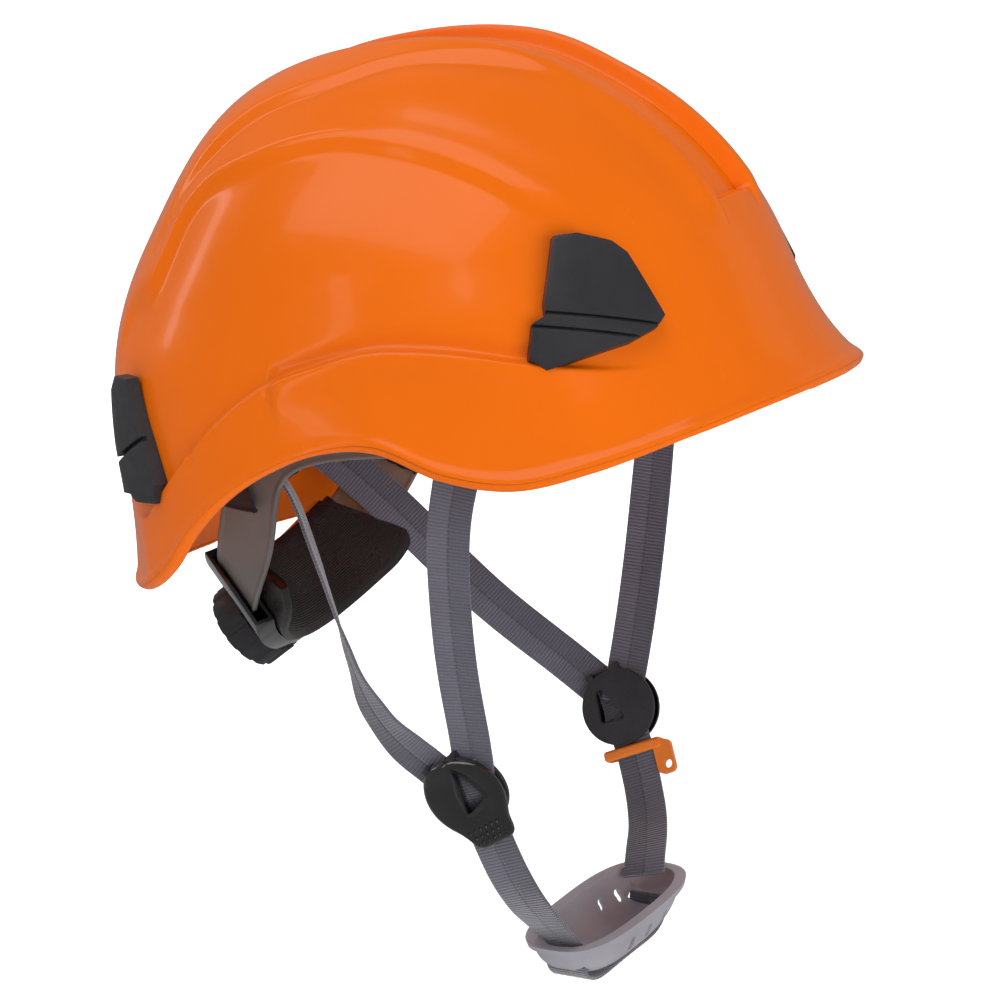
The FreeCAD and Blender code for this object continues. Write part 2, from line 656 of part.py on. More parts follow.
def make_chin_cup():
    outer = bowl(0.0, CUP_DEPTH).cut(box((-99, -99, 0), (99, 99, 50)))
    lip = bowl(2.0, CUP_DEPTH).common(box((-99, -99, -1.0), (99, 99, 1.2)))
    outer = outer.fuse(lip)
    cup = outer.cut(bowl(-CUP_WALL, CUP_DEPTH - CUP_WALL))
    for x, side in ((-9, -1), (4.5, -1), (17.5, -1), (18, 1), (28, 1)):
        hole = Part.makeCylinder(1.9, 30, Vector(x, 0, -6.4), Vector(0, side, -0.05))
        cup = cup.cut(hole.fuse(hole.translated(Vector(0, 0, -1.8))))
    for x in (-32.5, 32.5):
        cup = cup.cut(box((x - 2.4, -8.6, -30), (x + 2.4, 8.6, -3)))
    return cup.removeSplitter()


def make_cup_webbing():
    """Harness webbing that carries the cup from below, between its two slots."""
    half = [(0, 0, -17.5), (14.5, 0, -17.7), (25.3, 0, -16.6), (31.4, 0, -12.6), (33, 0, -7.0)]
    route = [(-x, y, z) for x, y, z in half[:0:-1]] + half
    return ribbon(route, [(0, 1, 0)] * len(route), WEBBING_WIDTH, WEBBING_THICK, stations=30)


# ---- all pieces ----
FRONT_CLIP = [(6.3, 25.3), (-1.8, 24.4), (-12.8, 19.1), (-17.2, 14), (-24.8, -9.6), (-21.1, -13),
              (-10.6, -16), (19.5, -18.5), (24.3, -13.3), (20.5, -2), (15.5, -0.5), (15, 4)]
REAR_CLIP = [(-6, 24), (4, 25), (9, 20), (13, 0), (13, -18), (6, -21), (-13, -21), (-17, -14), (-13, 2)]
# grooves run from (across, up) to (across, up), with a width and a depth
FRONT_CLIP_GROOVES = [((26, 3.9), (-30, -15.1), 1.2, 2.2), ((28, -0.5), (-30, -20.8), 1.2, 2.2)]
REAR_CLIP_GROOVES = [((18, -7.2), (-20, 5.0), 1.8, 2.4), ((-40, -19.8), (40, -19.8), 4.0, 1.8)]


def build():
    parts = {}
    outer = dome(0.0)
    inner = dome(-WALL)
    shell = make_shell(outer, inner)
    belted = outer.fuse(dome(BELT_PROUD).common(profile_prism(BELT, -100.0)))
    skin = dome(CLIP_PROUD)
    parts["shell"] = pitched(shell)
    front = make_clip(FRONT_CLIP, FRONT_CLIP_GROOVES, (75, -97, 46), (0.72, -0.62, 0.3), skin, belted)
    rear = make_clip(REAR_CLIP, REAR_CLIP_GROOVES, (77, 85, 20), (0.72, 0.69, 0.06), skin, belted)
    parts["clip_front_left"] = pitched(front)
    parts["clip_rear_left"] = pitched(rear)
    for name, angle in HOOK_ANGLES.items():
        parts["hook_" + name] = pitched(wall_block(angle, HOOK_Z, 26, 20, HOOK_THICK, inner))
    parts["anchor_front_left"] = pitched(wall_block(62, 18.0, 26, 12, HOOK_THICK, inner))
    rear_anchor = pitched(wall_block(166.2, 39.0, 26, 12, HOOK_THICK, inner))
    parts["anchor_rear_left"] = rear_anchor.cut(webbing_room(REAR_STRAP_LEFT))
    parts["anchor_rear_right"] = mirrored(rear_anchor).cut(webbing_room(REAR_STRAP_RIGHT))
    for name, angle, layer in (("a", 38, 0), ("b", 90, 1), ("c", -38, 2)):
        parts["crown_strap_" + name] = pitched(crown_strap(angle, layer))
    crown = Part.makeCylinder(16, 2.4, Vector(0, 0, 102.4), Vector(0, 0, 1))
    parts["crown_pad"] = pitched(crown.makeFillet(1.0, crown.Edges[:1]))

    parts["headband"] = make_headband()
    parts["sweatband"] = make_sweatband()
    parts["arm_pad_left"] = make_arm_pad(0.925)
    parts["arm_pad_right"] = mirrored(make_arm_pad(0.86))
    parts["nape_housing"] = nape_place(make_nape_housing())
    parts["nape_pad"] = nape_place(make_nape_pad())
    parts["rack_left"] = nape_place(make_rack("left"))
    parts["rack_right"] = nape_place(make_rack("right"))
    parts["pinion"] = nape_place(make_pinion())
    parts["knob"] = nape_place(make_knob())
    parts["knob_cap"] = nape_place(make_knob_cap())

    parts["yoke_left"] = ribbon([r[0] for r in YOKE], [r[1] for r in YOKE], 18.0, BAND_THICK)
    for name, rows in HANGERS.items():
        parts[name] = ribbon([r[0] for r in rows], [r[1] for r in rows], 14.0, BAND_THICK, stations=12)

    ears = turned_down(hinge_ears(0.4))
    parts["front_strap_left"] = webbing(FRONT_STRAP_LEFT).cut(buckle_place(ears))
    parts["front_strap_right"] = webbing(FRONT_STRAP_RIGHT).cut(right_buckle_place(ears))
    parts["lower_strap_left"] = webbing(LOWER_STRAP_LEFT)
    parts["lower_strap_right"] = webbing(LOWER_STRAP_RIGHT)
    parts["rear_strap_left"] = webbing(REAR_STRAP_LEFT, stations=40).cut(buckle_place(ears))
    parts["rear_strap_right"] = webbing(REAR_STRAP_RIGHT, stations=40).cut(right_buckle_place(ears))
    for side, place in (("left", buckle_place), ("right", right_buckle_place)):
        parts["buckle_plate_" + side] = place(make_plate())
        parts["buckle_cover_" + side] = place(make_cover(side))
        parts["lever_pin_" + side] = place(make_lever_pin())
    parts["release_frame"] = on_lower_strap(make_release_frame(), (65.2, -46.3, -135.5), (61.8, -50.5, -145))
    parts["chin_cup"] = cup_place(make_chin_cup())
    parts["cup_webbing"] = cup_place(make_cup_webbing())

    for name in list(parts):
        twin = name.replace("left", "right")
        if twin not in parts:
            parts[twin] = mirrored(parts[name])
    return parts


def main():
    os.makedirs("parts", exist_ok=True)
    for name, shape in build().items():
        solids = shape.Solids
        if len(solids) == 1:
            shape = solids[0]
        print(f"{name:20s} solids {len(solids)} valid {shape.isValid()} volume {shape.Volume / 1000:.2f} cm3")
        shape.exportStep(f"parts/{name}.step")


main()
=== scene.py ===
import json
import math

import bpy
import numpy as np
from mathutils import Matrix, Vector
from mathutils.bvhtree import BVHTree


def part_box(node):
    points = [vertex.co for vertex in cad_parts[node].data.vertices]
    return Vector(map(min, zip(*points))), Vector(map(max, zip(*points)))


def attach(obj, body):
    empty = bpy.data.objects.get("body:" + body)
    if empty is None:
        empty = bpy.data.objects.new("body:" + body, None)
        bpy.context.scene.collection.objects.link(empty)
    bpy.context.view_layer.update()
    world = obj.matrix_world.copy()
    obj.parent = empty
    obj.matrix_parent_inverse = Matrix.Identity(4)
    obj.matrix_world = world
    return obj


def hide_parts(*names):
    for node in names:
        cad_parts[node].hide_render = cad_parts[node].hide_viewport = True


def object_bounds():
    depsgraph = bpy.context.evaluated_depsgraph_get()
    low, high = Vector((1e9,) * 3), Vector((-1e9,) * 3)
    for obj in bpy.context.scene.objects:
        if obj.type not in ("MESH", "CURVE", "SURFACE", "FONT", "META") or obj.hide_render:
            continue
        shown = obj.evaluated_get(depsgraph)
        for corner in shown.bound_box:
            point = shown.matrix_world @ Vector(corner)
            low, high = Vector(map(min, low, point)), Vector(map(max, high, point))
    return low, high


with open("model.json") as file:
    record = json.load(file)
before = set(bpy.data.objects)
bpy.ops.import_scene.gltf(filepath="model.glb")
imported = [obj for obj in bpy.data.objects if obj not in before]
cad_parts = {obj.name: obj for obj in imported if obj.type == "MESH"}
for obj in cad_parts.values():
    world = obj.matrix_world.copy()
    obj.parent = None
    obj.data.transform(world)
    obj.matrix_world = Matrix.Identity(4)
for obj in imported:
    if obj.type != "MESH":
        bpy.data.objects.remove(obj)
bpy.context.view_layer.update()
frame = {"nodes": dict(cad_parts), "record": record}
MM = 0.001

# ---- shell sizes, the same as the CAD shell's, in mm in the shell's own level frame ----
PITCH = math.radians(-12)
TOP, EQUATOR = 141.0, 20.0
FRONT, REAR, SIDE = 137.0, 120.0, 103.0
WALL = 2.8
PLAN_POWER = 2.2             # 2 is an ellipse, and more is squarer
SPREAD_POWER, RISE_POWER = 2.2, 2.05
FLARE_HEIGHT = 45.0          # how far up from the rim the flare reaches
FLARE_POWER = 2.2
LOWEST = 120.0               # dome angle of the rim; 90 is the equator
RIM = [(-172, 3), (-156, 3), (-127, -2), (-95, -7.5), (-67, -8.5), (-45, -1.5), (-22, 11.5), (0, 12.7),
       (22, 8), (42, 0), (60, -11), (77, -24), (96, -32), (118, -33), (150, -32)]
FLARE = [(0, 18), (20, 15.5), (45, 9), (75, 4), (95, 3), (120, 3), (150, 4), (180, 5)]
BELT = [(-125, 20), (-100, 24), (-81, 30), (-50, 40), (-22, 44), (-6, 42), (18, 37), (49, 21), (73, 4),
        (86, -6)]
CHANNEL = 16.0
CHANNEL_DEPTH = 4.5
STRIP = 24.0                 # half width of the middle strip of the shell's mesh
STRIP_ROWS, HALF_STRIP_COLUMNS, SIDE_ROWS = 620, 44, 260
HALVINGS = 44                # of the search for the strip's angles


# ---------------------------------------------------------------- small helpers
def along(table, x):
    """Smooth curve through a table of (x, value) pairs."""
    xs = np.array([p[0] for p in table], float)
    vs = np.array([p[1] for p in table], float)
    slope = np.gradient(vs, xs)
    x = np.clip(x, xs[0], xs[-1])
    i = np.clip(np.searchsorted(xs, x, side="right") - 1, 0, len(xs) - 2)
    span = xs[i + 1] - xs[i]
    t = (x - xs[i]) / span
    return ((2 * t**3 - 3 * t**2 + 1) * vs[i] + (t**3 - 2 * t**2 + t) * span * slope[i]
            + (3 * t**2 - 2 * t**3) * vs[i + 1] + (t**3 - t**2) * span * slope[i + 1])


def step(x):
    """Smooth step from 0 at -1 to 1 at 1."""
    t = np.clip(x * 0.5 + 0.5, 0, 1)
    return t * t * (3 - 2 * t)


def bump(x):
    return np.exp(-x * x)


def mesh_object(name, points, faces, smooth=True, uv=None):
    mesh = bpy.data.meshes.new(name)
    mesh.from_pydata([tuple(p) for p in points], [], [tuple(f) for f in faces])
    if uv is not None:
        layer = mesh.uv_layers.new(name="UVMap")
        layer.data.foreach_set("uv", np.asarray(uv, np.float32).reshape(-1))
    if smooth:
        mesh.polygons.foreach_set("use_smooth", [True] * len(mesh.polygons))
    mesh.update()
    obj = bpy.data.objects.new(name, mesh)
    bpy.context.scene.collection.objects.link(obj)
    return obj


def apply_modifiers(obj):
    graph = bpy.context.evaluated_depsgraph_get()
    mesh = bpy.data.meshes.new_from_object(obj.evaluated_get(graph))
    obj.modifiers.clear()
    obj.data = mesh
    return obj


# ---------------------------------------------------------------- materials
class Finish:
    """A procedural material, built on one Principled shader."""

    def __init__(self, name, color, roughness, **sockets):
        self.material = bpy.data.materials.new(name)
        self.material.use_nodes = True
        self.nodes = self.material.node_tree.nodes
        self.links = self.material.node_tree.links
        self.shader = self.nodes["Principled BSDF"]
        self.shader.inputs["Base Color"].default_value = (*color, 1)
        self.shader.inputs["Roughness"].default_value = roughness
        for key, value in sockets.items():
            self.shader.inputs[key.replace("_", " ")].default_value = value
        self.color = color
        self.roughness = roughness
        self.place = self.nodes.new("ShaderNodeTexCoord").outputs["Object"]

    def noise(self, scale, detail=4.0, place=None):
        node = self.nodes.new("ShaderNodeTexNoise")
        node.inputs["Scale"].default_value = scale
        node.inputs["Detail"].default_value = detail
        self.links.new(place or self.place, node.inputs["Vector"])
        return node.outputs["Fac"]

    def ramp(self, value, low, high, out_low, out_high):
        node = self.nodes.new("ShaderNodeMapRange")
        for key, number in (("From Min", low), ("From Max", high), ("To Min", out_low), ("To Max", out_high)):
            node.inputs[key].default_value = number
        self.links.new(value, node.inputs["Value"])
        return node.outputs["Result"]

    def maths(self, operation, a, b=0.0, c=0.0):
        node = self.nodes.new("ShaderNodeMath")
        node.operation = operation
        for i, value in enumerate((a, b, c)):
            if isinstance(value, (int, float)):
                node.inputs[i].default_value = value
            else:
                self.links.new(value, node.inputs[i])
        return node.outputs[0]

    def mix(self, share, a, b):
        node = self.nodes.new("ShaderNodeMix")
        node.data_type = "RGBA"
        if isinstance(share, (int, float)):
            node.inputs["Factor"].default_value = share
        else:
            self.links.new(share, node.inputs["Factor"])
        for socket, value in ((6, a), (7, b)):
            if isinstance(value, tuple):
                node.inputs[socket].default_value = (*value, 1)
            else:
                self.links.new(value, node.inputs[socket])
        return node.outputs[2]

    def mottle(self, scale, amount):
        """Slight uneven shade over the surface."""
        dark = tuple(c * (1 - amount) for c in self.color)
        light = tuple(min(c * (1 + amount), 1) for c in self.color)
        shade = self.mix(self.ramp(self.noise(scale), 0.3, 0.7, 0, 1), dark, light)
        self.links.new(shade, self.shader.inputs["Base Color"])
        return shade

    def handled(self, scale, amount):
        """Roughness that varies as on a piece that has been handled."""
        value = self.ramp(self.noise(scale, 6), 0.3, 0.7, self.roughness - amount, self.roughness + amount)
        self.links.new(value, self.shader.inputs["Roughness"])

    def relief(self, height, distance, strength=1.0):
        node = self.nodes.new("ShaderNodeBump")
        node.inputs["Distance"].default_value = distance
        node.inputs["Strength"].default_value = strength
        self.links.new(height, node.inputs["Height"])
        self.links.new(node.outputs["Normal"], self.shader.inputs["Normal"])


def moulded(name, color, roughness, grain=900.0, depth=0.00004, mottle=0.08, **sockets):
    finish = Finish(name, color, roughness, **sockets)
    finish.mottle(45.0, mottle)
    finish.handled(130.0, min(0.07, roughness * 0.5))
    finish.relief(finish.noise(grain, 3), depth)
    return finish.material


def shell_finish():
    finish = Finish("orange_abs", (0.88, 0.158, 0.0025), 0.26, Coat_Weight=0.16, Coat_Roughness=0.06)
    finish.shader.inputs["Specular IOR Level"].default_value = 0.17
    finish.shader.inputs["Subsurface Weight"].default_value = 0.03
    finish.shader.inputs["Subsurface Radius"].default_value = (0.004, 0.0012, 0.0004)
    finish.shader.inputs["Subsurface Scale"].default_value = 0.5
    finish.mottle(9.0, 0.035)
    fine = finish.ramp(finish.noise(70.0, 5), 0.4, 0.75, 0.2, 0.28)
    finish.links.new(fine, finish.shader.inputs["Roughness"])
    finish.relief(finish.noise(26.0, 1), 0.00006)
    return finish.material


STITCH_PITCH = 2.3           # mm along the middle of a strap


def webbing_finish(name, rib, weave, two_tone=0.12):
    """Woven strap. Its UV is (mm across from the middle, mm along)."""
    finish = Finish(name, (0.14, 0.134, 0.175), 0.6, Sheen_Weight=0.7, Sheen_Roughness=0.4)
    uv = finish.nodes.new("ShaderNodeUVMap")
    uv.uv_map = "UVMap"
    split = finish.nodes.new("ShaderNodeSeparateXYZ")
    finish.links.new(uv.outputs["UV"], split.inputs["Vector"])
    across, down = split.outputs["X"], split.outputs["Y"]
    m = finish.maths
    wobble = m("MULTIPLY", m("SUBTRACT", finish.noise(420.0, 2), 0.5), 0.35)
    ribs = m("SINE", m("MULTIPLY", m("ADD", down, wobble), 2 * math.pi / rib))
    threads = m("SINE", m("MULTIPLY", across, 2 * math.pi / weave))
    slant = m("ADD", m("MULTIPLY", down, 4 * math.pi / rib), m("MULTIPLY", across, math.pi / weave))
    crossing = m("SINE", slant)
    cloth = m("ADD", m("MULTIPLY", ribs, 0.62), m("MULTIPLY", m("MULTIPLY", threads, crossing), 0.38))
    middle = m("SUBTRACT", 1.0, m("SMOOTH_MIN", m("MULTIPLY", m("ABSOLUTE", across), 1.9), 1.0, 0.2))
    beat = m("SINE", m("MULTIPLY", down, 2 * math.pi / STITCH_PITCH))
    stitch = m("MULTIPLY", middle, m("ADD", 0.65, m("MULTIPLY", beat, 0.35)))
    fuzzy = m("ADD", cloth, m("MULTIPLY", finish.noise(2600.0, 2), 0.6))
    height = m("SUBTRACT", fuzzy, m("MULTIPLY", stitch, 1.6))
    finish.relief(height, 0.00016)
    half = finish.ramp(across, -0.4, 0.4, 1 - two_tone, 1 + two_tone)
    # painted shade: the weave is darker in the low parts of its ribs and threads, where shade would fall
    painted_rib_shade = finish.ramp(cloth, -1.0, 1.0, 0.62, 1.12)
    fade = finish.ramp(finish.noise(60.0), 0.3, 0.7, 0.92, 1.08)
    dark = m("SUBTRACT", 1.0, m("MULTIPLY", stitch, 0.45))
    shade = m("MULTIPLY", m("MULTIPLY", half, painted_rib_shade), m("MULTIPLY", fade, dark))
    scaled = finish.nodes.new("ShaderNodeVectorMath")
    scaled.operation = "SCALE"
    scaled.inputs[0].default_value = finish.color
    finish.links.new(shade, scaled.inputs["Scale"])
    finish.links.new(scaled.outputs["Vector"], finish.shader.inputs["Base Color"])
    return finish.material


def fabric_finish(name, color, scale):
    """Brushed knit over foam."""
    finish = Finish(name, color, 0.85, Sheen_Weight=0.5, Sheen_Roughness=0.4)
    finish.mottle(240.0, 0.14)
    mesh = finish.nodes.new("ShaderNodeTexVoronoi")
    mesh.inputs["Scale"].default_value = scale
    finish.links.new(finish.place, mesh.inputs["Vector"])
    finish.relief(finish.maths("ADD", mesh.outputs["Distance"], finish.noise(scale * 2, 3)), 0.0004)
    return finish.material


MATERIALS = {
    "shell": shell_finish(),
    "black_plastic": moulded("black_nylon", (0.026, 0.026, 0.03), 0.45, grain=1500.0, depth=0.00012,
                             mottle=0.2),
    "knob_cap": moulded("black_cap", (0.022, 0.022, 0.025), 0.38, mottle=0.15),
    "gloss_black": moulded("black_gloss", (0.008, 0.008, 0.009), 0.12, grain=300.0, depth=0.00002, mottle=0.2,
                           Coat_Weight=1.0, Coat_Roughness=0.04),
    "webbing": webbing_finish("webbing", 1.25, 0.8),
    "band_plastic": moulded("grey_polyethylene", (0.155, 0.14, 0.135), 0.36, grain=500.0, depth=0.00003,
                            Subsurface_Weight=0.08),
    "brow_foam": fabric_finish("sweatband_cloth", (0.2, 0.2, 0.235), 1100.0),
    "nape_foam": moulded("black_soft_pad", (0.02, 0.017, 0.017), 0.3, grain=1800.0, depth=0.00008,
                         mottle=0.2),
    "orange_plastic": moulded("orange_frame", (0.84, 0.2, 0.012), 0.3, Coat_Weight=0.3),
    "cup_rubber": moulded("grey_rubber", (0.34, 0.33, 0.375), 0.42, grain=1200.0, depth=0.00004,
                          Subsurface_Weight=0.05),
    "steel": moulded("steel_pin", (0.55, 0.55, 0.57), 0.28, Metallic=1.0),
}
SLOT_OF = {row["node"]: row["material_slot"] for row in frame["record"]["subparts"]}
BODY_OF = {node: body for body, nodes in frame["record"]["behaviour"]["bodies"].items() for node in nodes}


def stand_for(obj, *nodes, slot=None):
    """obj takes the place, body and finish of CAD nodes."""
    slot = slot or SLOT_OF[nodes[0]]
    obj.data.materials.clear()
    obj.data.materials.append(MATERIALS[slot])
    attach(obj, BODY_OF[nodes[0]])
    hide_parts(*nodes)
    return obj


# ---------------------------------------------------------------- the shell
def shell_base(turn, lift_angle):
    """Plain dome and skirt: plan angle from the front and dome angle, both arrays, in radians and degrees."""
    c, s = np.cos(turn), np.sin(turn)
    length = np.where(c > 0, FRONT, REAR)
    radius = ((np.abs(c) / length) ** PLAN_POWER + (np.abs(s) / SIDE) ** PLAN_POWER) ** (-1 / PLAN_POWER)
    flare = along(FLARE, np.abs(np.degrees(np.arctan2(s, c))))
    rim = along(RIM, -(radius + flare) * c)
    a = np.radians(np.minimum(lift_angle, 90.0))
    drop = np.clip((lift_angle - 90.0) / (LOWEST - 90.0), 0, 1)
    spread = np.sin(a) ** (2 / SPREAD_POWER)
    z = EQUATOR + (TOP - EQUATOR) * np.abs(np.cos(a)) ** (2 / RISE_POWER) + (rim - EQUATOR) * drop
    lift = np.clip((z - rim) / FLARE_HEIGHT, 0, 1)
    reach = radius * spread + flare * (1 - lift) ** FLARE_POWER
    return np.stack([reach * s, -reach * c, z], -1), rim


def shell_relief(p, rim):
    """How far the surface stands out from the plain dome, in mm."""
    x, y, z = np.abs(p[..., 0]), p[..., 1], p[..., 2]
    ahead = step((-y - 20) / 60)
    out = np.zeros_like(x)
    # long channel over the crown, with a slightly crowned floor and raised shoulders
    inside = step((CHANNEL - x) / 0.9)
    ends = np.where(y < 0, step((z - 70.0) / 1.3), step((64.0 - y) / 9.0))
    floor = CHANNEL_DEPTH - 1.6 * (1 - np.clip(x / CHANNEL, 0, 1) ** 2)
    out -= floor * inside * ends
    out += 2.6 * ahead * bump((x - CHANNEL - 3.5) / 6.5) * (1 - inside) * step((z - 66) / 8)
    # soft shoulders beside the channel
    edge = along([(-95, 16), (-52, 27), (-22, 33), (-2, 42), (32, 48), (58, 55), (85, 60)], y)
    out += 2.9 * step((edge - x) / 3.8) * step((70 - y) / 26) * step((y + 72) / 22) * step((z - 60) / 20)
    # second soft ridge that runs round the side to the front clip
    ridge = along([(-92, 68), (-83, 70), (-65, 71), (-34, 70), (-11, 68), (24, 68), (58, 65), (75, 70),
                   (92, 60)], y)
    out -= 2.4 * step((x - ridge) / 3.0) * step((z - 52) / 16) * step((96 - y) / 12) * step((y + 96) / 8)
    out += 1.0 * bump((x - ridge + 3) / 5) * step((z - 60) / 16) * step((88 - y) / 12) * step((y + 96) / 8)
    # proud belt round the bottom, with its ledge
    height = along(BELT, y)
    deep = step((14 - y) / 1.5) * step((y + 92) / 10)
    width = 0.75 + 0.25 * deep
    proud = 1.9 + 2.0 * deep * bump((z - height + 1.5) / 9.0)
    belt = step((height - 0.5 * width - z) / width)
    out += proud * belt * step((y + 104) / 14) * step((96 - y) / 8) * step((x - 50) / 14)
    out -= 0.9 * deep * bump((z - height - 2.2) / 2.6) * step((x - 60) / 10)
    at_ledge = bump((z - height + 2) / 3.0)
    notch = bump((y - 14) / 2.4) * at_ledge + 0.8 * bump((y - 55) / 2.0) * at_ledge
    out -= 0.9 * notch * step((x - 60) / 10)
    # rolled rim
    out += 0.8 * bump((z - rim - 1.0) / 2.4)
    # slightly flatter behind the crown
    out -= 5.8 * bump((y - 78) / 42) * bump((z - 94) / 44)
    return out


def shell_surface(turn, lift_angle):
    p, rim = shell_base(turn, lift_angle)
    outer = p.copy()
    centre = np.array([0.0, 0.0, 8.0])
    n = np.cross(np.gradient(p, axis=1), np.gradient(p, axis=0))
    size = np.linalg.norm(n, axis=-1, keepdims=True)
    radial = p - centre
    radial /= np.linalg.norm(radial, axis=-1, keepdims=True)
    n = np.where(size > 1e-6, n / np.maximum(size, 1e-9), radial)
    n *= np.sign((n * radial).sum(-1, keepdims=True) + 1e-9)
    relief = shell_relief(p, rim)
    outer += n * relief[..., None]
    inner = p + n * (np.minimum(relief, 0) - WALL)[..., None]
    return outer, inner


def direction(turn, lift_angle):
    e = np.radians(lift_angle)
    return np.stack([np.sin(e) * np.sin(turn), -np.sin(e) * np.cos(turn), np.cos(e)], -1)


def uneven(low, high, count, dense):
    """count + 1 values from low to high, packed closer about the (place, width, weight) in dense."""
    fine = np.linspace(low, high, 4000)
    weight = np.ones_like(fine)
    for place, width, extra in dense:
        weight += extra * bump((fine - place) / width)
    total = np.concatenate([[0], np.cumsum(0.5 * (weight[1:] + weight[:-1]))])
    return np.interp(np.linspace(0, total[-1], count + 1), total, fine)


def strip_angles(columns, rows):
    """Plan and dome angles where the surface has the wanted x, on planes that turn about the x axis."""
    x, turn_row = np.meshgrid(np.abs(columns), np.radians(rows), indexing="ij")
    low, high = np.zeros_like(x), np.full_like(x, math.radians(55))

    def angles(side):
        e = np.degrees(np.arccos(np.clip(np.cos(side) * np.cos(turn_row), -1, 1)))
        last = np.degrees(np.arccos(np.clip(np.cos(side) * math.cos(math.radians(LOWEST)), -1, 1)))
        e = e * (1 + (np.abs(turn_row) / math.radians(LOWEST)) ** 6 * (LOWEST / last - 1))
        turn = np.arctan2(np.sin(side), np.cos(side) * np.sin(-turn_row))
        return turn, e

    for _ in range(HALVINGS):
        mid = (low + high) / 2
        p, _ = shell_base(*angles(mid))
        short = p[..., 0] < x
        low, high = np.where(short, mid, low), np.where(short, high, mid)
    turn, e = angles((low + high) / 2)
    return np.where(columns[:, None] < 0, -turn, turn), e


def build_shell():
    rows = uneven(-LOWEST, LOWEST, STRIP_ROWS, [(-67, 5, 5), (-LOWEST, 3, 3), (LOWEST, 3, 3)])
    half = uneven(0, STRIP, HALF_STRIP_COLUMNS, [(CHANNEL, 1.2, 9)])
    columns = np.concatenate([-half[:0:-1], half])
    turn, e = strip_angles(columns, rows)
    grids = [shell_surface(turn, e)]
    edge_turn, edge_e = turn[-1], e[-1]
    run = np.concatenate([[0], np.cumsum(np.linalg.norm(np.diff(grids[0][0][-1], axis=0), axis=1))])
    rim_turn = np.linspace(edge_turn[0], edge_turn[-1], 2000)
    rim_line, _ = shell_base(rim_turn, np.full_like(rim_turn, LOWEST))
    rim_run = np.concatenate([[0], np.cumsum(np.linalg.norm(np.diff(rim_line, axis=0), axis=1))])
    foot_turn = np.interp(run / run[-1] * rim_run[-1], rim_run, rim_turn)
    head = direction(edge_turn, edge_e)
    foot = direction(foot_turn, np.full_like(foot_turn, LOWEST))
    share = uneven(0, 1, SIDE_ROWS, [(1, 0.03, 3), (0.74, 0.12, 2.5)])
    angle = np.arccos(np.clip((head * foot).sum(-1), -1, 1))
    safe = np.maximum(np.sin(angle), 1e-6)
    a = np.where(angle > 1e-4, np.sin((1 - share[:, None]) * angle) / safe, 1 - share[:, None])
    b = np.where(angle > 1e-4, np.sin(share[:, None] * angle) / safe, share[:, None])
    between = a[..., None] * head + b[..., None] * foot
    between /= np.linalg.norm(between, axis=-1, keepdims=True)
    side_turn = np.arctan2(between[..., 0], -between[..., 1])
    side_e = np.degrees(np.arccos(np.clip(between[..., 2], -1, 1)))
    side_e[-1] = LOWEST
    left = shell_surface(side_turn, side_e)
    grids.append(left)
    flip = np.array([-1.0, 1.0, 1.0])
    grids.append((left[0] * flip, left[1] * flip))
    for grid in grids[1:]:
        mirror = 1 if grid is grids[1] else -1
        line = grids[0][0][-1 if mirror > 0 else 0], grids[0][1][-1 if mirror > 0 else 0]
        for layer in (0, 1):
            grid[layer][0] = line[layer]
            grid[layer][:, 0] = line[layer][0]
            grid[layer][:, -1] = line[layer][-1]

    points, faces = [], []

    def add(grid, reverse):
        start = sum(len(p) for p in points)
        rows_, cols_ = grid.shape[:2]
        points.append(grid.reshape(-1, 3))
        index = start + np.arange(rows_ * cols_).reshape(rows_, cols_)
        quad = np.stack([index[:-1, :-1], index[1:, :-1], index[1:, 1:], index[:-1, 1:]], -1).reshape(-1, 4)
        faces.append(quad[:, ::-1] if reverse else quad)

    for k, (outer, inner) in enumerate(grids):
        add(outer, k == 2)
        add(inner, k != 2)
    # rounded edge all the way round the rim
    strip, near, far = grids
    loops = []
    for layer in (0, 1):
        loops.append(np.concatenate([strip[layer][:, 0], near[layer][-1][1:], strip[layer][::-1, -1][1:],
                                     far[layer][-1][::-1][1:]]))
    outer, inner = loops
    before = np.concatenate([strip[0][:, 1], near[0][-2][1:], strip[0][::-1, -2][1:], far[0][-2][::-1][1:]])
    down = outer - before
    down /= np.maximum(np.linalg.norm(down, axis=1, keepdims=True), 1e-9)
    blur = np.array([down[(np.arange(len(down)) + k) % len(down)] for k in range(-6, 7)]).mean(0)
    down = blur / np.linalg.norm(blur, axis=1, keepdims=True)
    across = (outer - inner) / 2
    radius = np.linalg.norm(across, axis=1, keepdims=True)
    turns = np.linspace(0, math.pi, 11)
    edge = np.stack([(outer + inner) / 2 + across * math.cos(t) + down * radius * math.sin(t) for t in turns])
    add(edge, True)

    points = np.concatenate(points)
    c, s = math.cos(PITCH), math.sin(PITCH)
    y = points[:, 1] * c - points[:, 2] * s
    z = points[:, 1] * s + points[:, 2] * c
    points = np.stack([points[:, 0], y, z], 1) * MM
    mesh = bpy.data.meshes.new("helmet_shell")
    quads = np.concatenate(faces)
    mesh.vertices.add(len(points))
    mesh.vertices.foreach_set("co", points.astype(np.float32).reshape(-1))
    mesh.loops.add(quads.size)
    mesh.loops.foreach_set("vertex_index", quads.astype(np.int32).reshape(-1))
    mesh.polygons.add(len(quads))
    mesh.polygons.foreach_set("loop_start", np.arange(0, quads.size, 4, dtype=np.int32))
    mesh.polygons.foreach_set("use_smooth", [True] * len(quads))
    mesh.update(calc_edges=True)
    shell = bpy.data.objects.new("helmet_shell", mesh)
    bpy.context.scene.collection.objects.link(shell)
    weld = shell.modifiers.new("weld", "WELD")
    weld.merge_threshold = 0.00002
    apply_modifiers(shell)
    shell.data.validate()
    return shell


stand_for(build_shell(), "shell")


